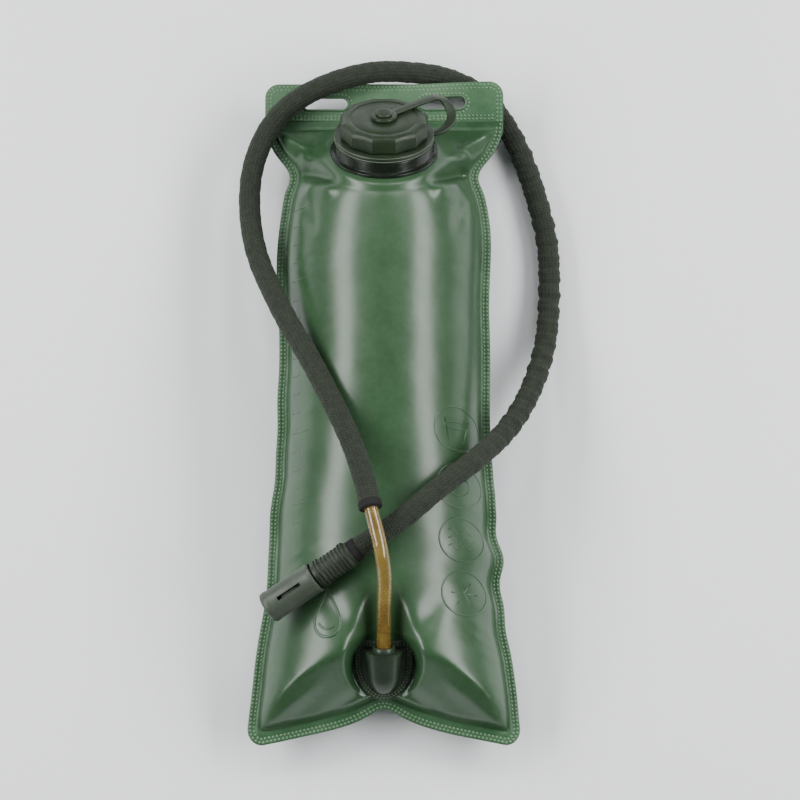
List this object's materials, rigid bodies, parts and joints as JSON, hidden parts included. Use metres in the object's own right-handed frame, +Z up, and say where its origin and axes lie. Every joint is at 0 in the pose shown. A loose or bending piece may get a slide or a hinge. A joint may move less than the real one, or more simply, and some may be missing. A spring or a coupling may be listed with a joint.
{
  "type": "hydration bladder",
  "caption": "Welded film water reservoir with a slotted hanging tab, tethered screw filler cap, hooded outlet, and a sleeved drink hose ending in a covered bite valve.",
  "frame": {"origin": "on the floor, under the middle of the reservoir's outline", "axes": "+Z up out of the front film as the reservoir lies on its back, +Y along it towards the hanging tab, +X to the right of someone looking at the front"},
  "size_m": [0.2053, 0.4422, 0.1052],
  "materials": {
    "film_green": "satin",
    "tab_green": "satin",
    "port_green": "gloss",
    "tether_green": "satin",
    "cap_olive": "satin",
    "seal_rubber": "matte",
    "outlet_dark": "gloss",
    "barb_dark": "gloss",
    "tube_amber": "clear",
    "sleeve_knit": "knit",
    "hem_black": "matte",
    "grip_charcoal": "satin",
    "bite_silicone": "matte",
    "cover_grey": "satin"
  },
  "bodies": {
    "root": {"front_film": "film_green", "back_film": "film_green", "hanging_tab": "tab_green", "fill_port": "port_green", "tether_ring": "tether_green", "outlet_base": "outlet_dark", "outlet_barb": "barb_dark", "outlet_o_ring": "seal_rubber", "outlet_collar": "outlet_dark", "drink_tube": "tube_amber", "hose_sleeve": "sleeve_knit", "sleeve_end_lower": "hem_black", "sleeve_end_upper": "hem_black", "valve_stem": "barb_dark", "valve_grip": "grip_charcoal", "mouthpiece": "bite_silicone", "bite_disc": "bite_silicone"},
    "cap_tether": {"tether_eyelet": "tether_green", "tether_strap": "tether_green"},
    "cap": {"fill_cap": "cap_olive", "cap_gasket": "seal_rubber", "cap_button": "cap_olive"},
    "cover": {"dust_cover": "cover_grey"}
  },
  "joints": [
    {"name": "cap_rise", "type": "slide", "parent": "root", "child": "cap_tether", "axis": [0, 0.7218, 0.6921], "range_m": [0, 0.008]},
    {"name": "cap_turn", "type": "hinge", "parent": "cap_tether", "child": "cap", "pos_m": [0, 0.1615, 0.052], "axis": [0, 0.7218, 0.6921], "range_deg": [0, 720]},
    {"name": "dust_cover_pull", "type": "slide", "parent": "root", "child": "cover", "axis": [-0.8194, -0.5066, -0.2682], "range_m": [0, 0.036]}
  ],
  "couplings": [
    {"joint": "cap_rise", "follows": "cap_turn", "m_per_rad": 0.00063662}
  ]
}
